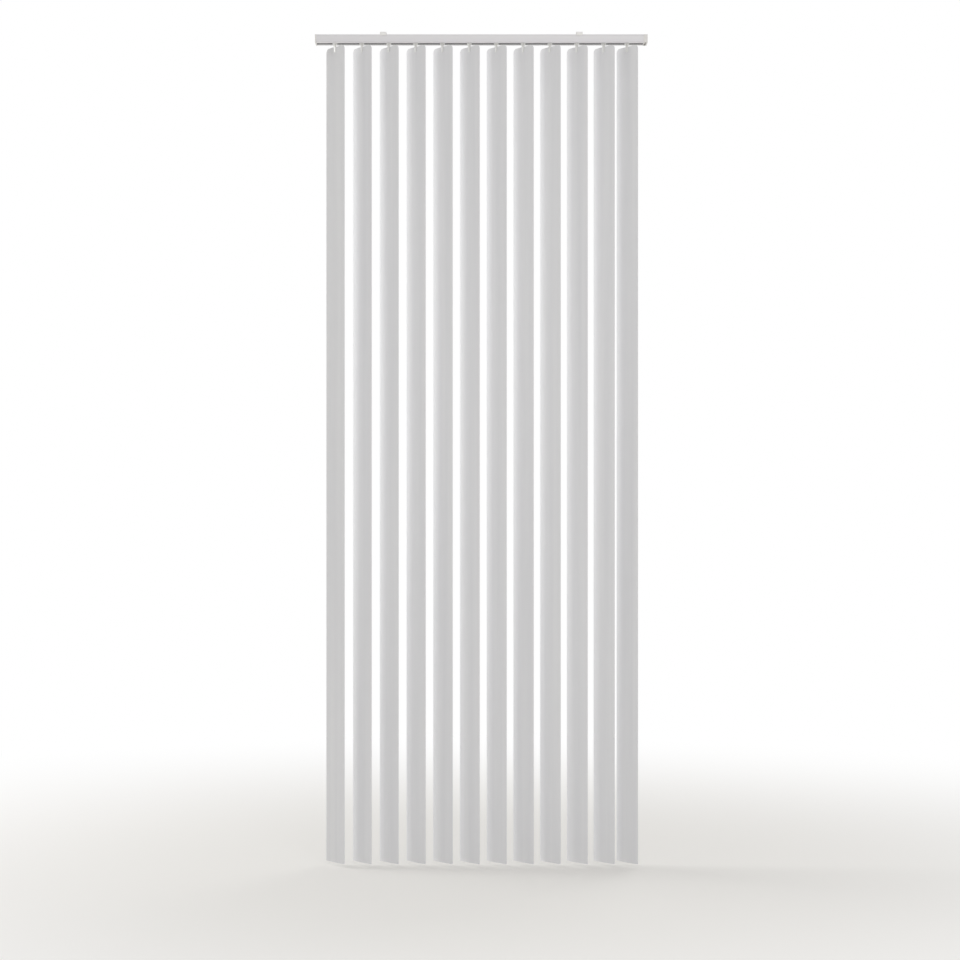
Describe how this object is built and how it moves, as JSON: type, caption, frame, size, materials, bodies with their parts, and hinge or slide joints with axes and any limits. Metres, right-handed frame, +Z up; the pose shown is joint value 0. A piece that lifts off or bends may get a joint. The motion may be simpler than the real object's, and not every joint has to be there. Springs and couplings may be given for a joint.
{
  "type": "vertical blind",
  "caption": "Vertical blind: crowned rigid slats hang from geared carriers in a slotted headrail, turn together and draw to one side; spring clips hold the rail to a ceiling.",
  "frame": {"origin": "on the ceiling plane, midway between the two bracket screw holes, above the rail's middle", "axes": "+X along the rail towards the control end, +Y away from the room towards the window, +Z up into the ceiling"},
  "size_m": [1, 0.0666, 2.5],
  "materials": {
    "rail_paint": "satin white powder coat",
    "cap_plastic": "satin moulded white",
    "bracket_steel": "white enamelled spring strip",
    "rod_aluminium": "mill",
    "inner_plastic": "natural acetal",
    "carrier_plastic": "moulded white",
    "hook_plastic": "moulded white",
    "slat_vinyl": "satin white rigid vinyl"
  },
  "bodies": {
    "headrail": {"headrail": "rail_paint", "end_cap": "cap_plastic", "control_cap": "cap_plastic", "bracket_left": "bracket_steel", "bracket_right": "bracket_steel"},
    "carriage_01": {"carrier_01": "carrier_plastic"},
    "louvre_01": {"stem_01": "hook_plastic", "slat_01": "slat_vinyl"},
    "worm_01": {"worm_01": "inner_plastic"},
    "carriage_02": {"carrier_02": "carrier_plastic"},
    "louvre_02": {"stem_02": "hook_plastic", "slat_02": "slat_vinyl"},
    "worm_02": {"worm_02": "inner_plastic"},
    "carriage_03": {"carrier_03": "carrier_plastic"},
    "louvre_03": {"stem_03": "hook_plastic", "slat_03": "slat_vinyl"},
    "worm_03": {"worm_03": "inner_plastic"},
    "carriage_04": {"carrier_04": "carrier_plastic"},
    "louvre_04": {"stem_04": "hook_plastic", "slat_04": "slat_vinyl"},
    "worm_04": {"worm_04": "inner_plastic"},
    "carriage_05": {"carrier_05": "carrier_plastic"},
    "louvre_05": {"stem_05": "hook_plastic", "slat_05": "slat_vinyl"},
    "worm_05": {"worm_05": "inner_plastic"},
    "carriage_06": {"carrier_06": "carrier_plastic"},
    "louvre_06": {"stem_06": "hook_plastic", "slat_06": "slat_vinyl"},
    "worm_06": {"worm_06": "inner_plastic"},
    "carriage_07": {"carrier_07": "carrier_plastic"},
    "louvre_07": {"stem_07": "hook_plastic", "slat_07": "slat_vinyl"},
    "worm_07": {"worm_07": "inner_plastic"},
    "carriage_08": {"carrier_08": "carrier_plastic"},
    "louvre_08": {"stem_08": "hook_plastic", "slat_08": "slat_vinyl"},
    "worm_08": {"worm_08": "inner_plastic"},
    "carriage_09": {"carrier_09": "carrier_plastic"},
    "louvre_09": {"stem_09": "hook_plastic", "slat_09": "slat_vinyl"},
    "worm_09": {"worm_09": "inner_plastic"},
    "carriage_10": {"carrier_10": "carrier_plastic"},
    "louvre_10": {"stem_10": "hook_plastic", "slat_10": "slat_vinyl"},
    "worm_10": {"worm_10": "inner_plastic"},
    "carriage_11": {"carrier_11": "carrier_plastic"},
    "louvre_11": {"stem_11": "hook_plastic", "slat_11": "slat_vinyl"},
    "worm_11": {"worm_11": "inner_plastic"},
    "carriage_12": {"carrier_12": "carrier_plastic"},
    "louvre_12": {"stem_12": "hook_plastic", "slat_12": "slat_vinyl"},
    "worm_12": {"worm_12": "inner_plastic"},
    "tilt_shaft": {"tilt_rod": "rod_aluminium", "chain_sprocket": "inner_plastic"},
    "return_wheel": {"return_pulley": "inner_plastic"},
    "guide_wheel_near": {"guide_pulley_near": "inner_plastic"},
    "guide_wheel_far": {"guide_pulley_far": "inner_plastic"}
  },
  "joints": [
    {"name": "traverse_01", "type": "slide", "parent": "headrail", "child": "carriage_01", "axis": [1, 0, 0], "range_m": [0, 0.628]},
    {"name": "traverse_02", "type": "slide", "parent": "headrail", "child": "carriage_02", "axis": [1, 0, 0], "range_m": [0, 0.571]},
    {"name": "traverse_03", "type": "slide", "parent": "headrail", "child": "carriage_03", "axis": [1, 0, 0], "range_m": [0, 0.514]},
    {"name": "traverse_04", "type": "slide", "parent": "headrail", "child": "carriage_04", "axis": [1, 0, 0], "range_m": [0, 0.457]},
    {"name": "traverse_05", "type": "slide", "parent": "headrail", "child": "carriage_05", "axis": [1, 0, 0], "range_m": [0, 0.4]},
    {"name": "traverse_06", "type": "slide", "parent": "headrail", "child": "carriage_06", "axis": [1, 0, 0], "range_m": [0, 0.343]},
    {"name": "traverse_07", "type": "slide", "parent": "headrail", "child": "carriage_07", "axis": [1, 0, 0], "range_m": [0, 0.286]},
    {"name": "traverse_08", "type": "slide", "parent": "headrail", "child": "carriage_08", "axis": [1, 0, 0], "range_m": [0, 0.229]},
    {"name": "traverse_09", "type": "slide", "parent": "headrail", "child": "carriage_09", "axis": [1, 0, 0], "range_m": [0, 0.172]},
    {"name": "traverse_10", "type": "slide", "parent": "headrail", "child": "carriage_10", "axis": [1, 0, 0], "range_m": [0, 0.115]},
    {"name": "traverse_11", "type": "slide", "parent": "headrail", "child": "carriage_11", "axis": [1, 0, 0], "range_m": [0, 0.058]},
    {"name": "traverse_12", "type": "slide", "parent": "headrail", "child": "carriage_12", "axis": [1, 0, 0], "range_m": [0, 0.012]},
    {"name": "tilt_01", "type": "hinge", "parent": "carriage_01", "child": "louvre_01", "pos_m": [-0.441, 0, -0.033], "axis": [0, 0, 1], "range_deg": [-125, 41]},
    {"name": "tilt_02", "type": "hinge", "parent": "carriage_02", "child": "louvre_02", "pos_m": [-0.36, 0, -0.033], "axis": [0, 0, 1], "range_deg": [-125, 41]},
    {"name": "tilt_03", "type": "hinge", "parent": "carriage_03", "child": "louvre_03", "pos_m": [-0.279, 0, -0.033], "axis": [0, 0, 1], "range_deg": [-125, 41]},
    {"name": "tilt_04", "type": "hinge", "parent": "carriage_04", "child": "louvre_04", "pos_m": [-0.198, 0, -0.033], "axis": [0, 0, 1], "range_deg": [-125, 41]},
    {"name": "tilt_05", "type": "hinge", "parent": "carriage_05", "child": "louvre_05", "pos_m": [-0.117, 0, -0.033], "axis": [0, 0, 1], "range_deg": [-125, 41]},
    {"name": "tilt_06", "type": "hinge", "parent": "carriage_06", "child": "louvre_06", "pos_m": [-0.036, 0, -0.033], "axis": [0, 0, 1], "range_deg": [-125, 41]},
    {"name": "tilt_07", "type": "hinge", "parent": "carriage_07", "child": "louvre_07", "pos_m": [0.045, 0, -0.033], "axis": [0, 0, 1], "range_deg": [-125, 41]},
    {"name": "tilt_08", "type": "hinge", "parent": "carriage_08", "child": "louvre_08", "pos_m": [0.126, 0, -0.033], "axis": [0, 0, 1], "range_deg": [-125, 41]},
    {"name": "tilt_09", "type": "hinge", "parent": "carriage_09", "child": "louvre_09", "pos_m": [0.207, 0, -0.033], "axis": [0, 0, 1], "range_deg": [-125, 41]},
    {"name": "tilt_10", "type": "hinge", "parent": "carriage_10", "child": "louvre_10", "pos_m": [0.288, 0, -0.033], "axis": [0, 0, 1], "range_deg": [-125, 41]},
    {"name": "tilt_11", "type": "hinge", "parent": "carriage_11", "child": "louvre_11", "pos_m": [0.369, 0, -0.033], "axis": [0, 0, 1], "range_deg": [-125, 41]},
    {"name": "tilt_12", "type": "hinge", "parent": "carriage_12", "child": "louvre_12", "pos_m": [0.439, 0, -0.033], "axis": [0, 0, 1], "range_deg": [-125, 41]},
    {"name": "worm_turn_01", "type": "hinge", "parent": "carriage_01", "child": "worm_01", "pos_m": [-0.441, 0.0099, -0.0195], "axis": [1, 0, 0], "range_deg": [-1500, 492]},
    {"name": "worm_turn_02", "type": "hinge", "parent": "carriage_02", "child": "worm_02", "pos_m": [-0.36, 0.0099, -0.0195], "axis": [1, 0, 0], "range_deg": [-1500, 492]},
    {"name": "worm_turn_03", "type": "hinge", "parent": "carriage_03", "child": "worm_03", "pos_m": [-0.279, 0.0099, -0.0195], "axis": [1, 0, 0], "range_deg": [-1500, 492]},
    {"name": "worm_turn_04", "type": "hinge", "parent": "carriage_04", "child": "worm_04", "pos_m": [-0.198, 0.0099, -0.0195], "axis": [1, 0, 0], "range_deg": [-1500, 492]},
    {"name": "worm_turn_05", "type": "hinge", "parent": "carriage_05", "child": "worm_05", "pos_m": [-0.117, 0.0099, -0.0195], "axis": [1, 0, 0], "range_deg": [-1500, 492]},
    {"name": "worm_turn_06", "type": "hinge", "parent": "carriage_06", "child": "worm_06", "pos_m": [-0.036, 0.0099, -0.0195], "axis": [1, 0, 0], "range_deg": [-1500, 492]},
    {"name": "worm_turn_07", "type": "hinge", "parent": "carriage_07", "child": "worm_07", "pos_m": [0.045, 0.0099, -0.0195], "axis": [1, 0, 0], "range_deg": [-1500, 492]},
    {"name": "worm_turn_08", "type": "hinge", "parent": "carriage_08", "child": "worm_08", "pos_m": [0.126, 0.0099, -0.0195], "axis": [1, 0, 0], "range_deg": [-1500, 492]},
    {"name": "worm_turn_09", "type": "hinge", "parent": "carriage_09", "child": "worm_09", "pos_m": [0.207, 0.0099, -0.0195], "axis": [1, 0, 0], "range_deg": [-1500, 492]},
    {"name": "worm_turn_10", "type": "hinge", "parent": "carriage_10", "child": "worm_10", "pos_m": [0.288, 0.0099, -0.0195], "axis": [1, 0, 0], "range_deg": [-1500, 492]},
    {"name": "worm_turn_11", "type": "hinge", "parent": "carriage_11", "child": "worm_11", "pos_m": [0.369, 0.0099, -0.0195], "axis": [1, 0, 0], "range_deg": [-1500, 492]},
    {"name": "worm_turn_12", "type": "hinge", "parent": "carriage_12", "child": "worm_12", "pos_m": [0.439, 0.0099, -0.0195], "axis": [1, 0, 0], "range_deg": [-1500, 492]},
    {"name": "rod_turn", "type": "hinge", "parent": "headrail", "child": "tilt_shaft", "pos_m": [0, 0.0099, -0.0195], "axis": [1, 0, 0], "range_deg": [-1500, 492]},
    {"name": "return_wheel_turn", "type": "hinge", "parent": "headrail", "child": "return_wheel", "pos_m": [-0.4775, -0.011, -0.013], "axis": [0, 0, 1], "continuous": true},
    {"name": "guide_near_turn", "type": "hinge", "parent": "headrail", "child": "guide_wheel_near", "pos_m": [0.4905, -0.0075, -0.0165], "axis": [0, 1, 0], "continuous": true},
    {"name": "guide_far_turn", "type": "hinge", "parent": "headrail", "child": "guide_wheel_far", "pos_m": [0.4905, -0.0145, -0.0165], "axis": [0, 1, 0], "continuous": true}
  ],
  "couplings": [
    {"joint": "traverse_02", "follows": "traverse_01", "ratio": 0.90924},
    {"joint": "traverse_03", "follows": "traverse_01", "ratio": 0.81847},
    {"joint": "traverse_04", "follows": "traverse_01", "ratio": 0.72771},
    {"joint": "traverse_05", "follows": "traverse_01", "ratio": 0.63694},
    {"joint": "traverse_06", "follows": "traverse_01", "ratio": 0.54618},
    {"joint": "traverse_07", "follows": "traverse_01", "ratio": 0.45541},
    {"joint": "traverse_08", "follows": "traverse_01", "ratio": 0.36465},
    {"joint": "traverse_09", "follows": "traverse_01", "ratio": 0.27389},
    {"joint": "traverse_10", "follows": "traverse_01", "ratio": 0.18312},
    {"joint": "traverse_11", "follows": "traverse_01", "ratio": 0.092357},
    {"joint": "traverse_12", "follows": "traverse_01", "ratio": 0.019108},
    {"joint": "tilt_02", "follows": "tilt_01", "ratio": 1},
    {"joint": "tilt_03", "follows": "tilt_01", "ratio": 1},
    {"joint": "tilt_04", "follows": "tilt_01", "ratio": 1},
    {"joint": "tilt_05", "follows": "tilt_01", "ratio": 1},
    {"joint": "tilt_06", "follows": "tilt_01", "ratio": 1},
    {"joint": "tilt_07", "follows": "tilt_01", "ratio": 1},
    {"joint": "tilt_08", "follows": "tilt_01", "ratio": 1},
    {"joint": "tilt_09", "follows": "tilt_01", "ratio": 1},
    {"joint": "tilt_10", "follows": "tilt_01", "ratio": 1},
    {"joint": "tilt_11", "follows": "tilt_01", "ratio": 1},
    {"joint": "tilt_12", "follows": "tilt_01", "ratio": 1},
    {"joint": "worm_turn_01", "follows": "tilt_01", "ratio": 12},
    {"joint": "worm_turn_02", "follows": "tilt_01", "ratio": 12},
    {"joint": "worm_turn_03", "follows": "tilt_01", "ratio": 12},
    {"joint": "worm_turn_04", "follows": "tilt_01", "ratio": 12},
    {"joint": "worm_turn_05", "follows": "tilt_01", "ratio": 12},
    {"joint": "worm_turn_06", "follows": "tilt_01", "ratio": 12},
    {"joint": "worm_turn_07", "follows": "tilt_01", "ratio": 12},
    {"joint": "worm_turn_08", "follows": "tilt_01", "ratio": 12},
    {"joint": "worm_turn_09", "follows": "tilt_01", "ratio": 12},
    {"joint": "worm_turn_10", "follows": "tilt_01", "ratio": 12},
    {"joint": "worm_turn_11", "follows": "tilt_01", "ratio": 12},
    {"joint": "worm_turn_12", "follows": "tilt_01", "ratio": 12},
    {"joint": "rod_turn", "follows": "tilt_01", "ratio": 12},
    {"joint": "return_wheel_turn", "follows": "traverse_01", "rad_per_m": -285.71},
    {"joint": "guide_near_turn", "follows": "traverse_01", "rad_per_m": 285.71},
    {"joint": "guide_far_turn", "follows": "traverse_01", "rad_per_m": -285.71}
  ]
}
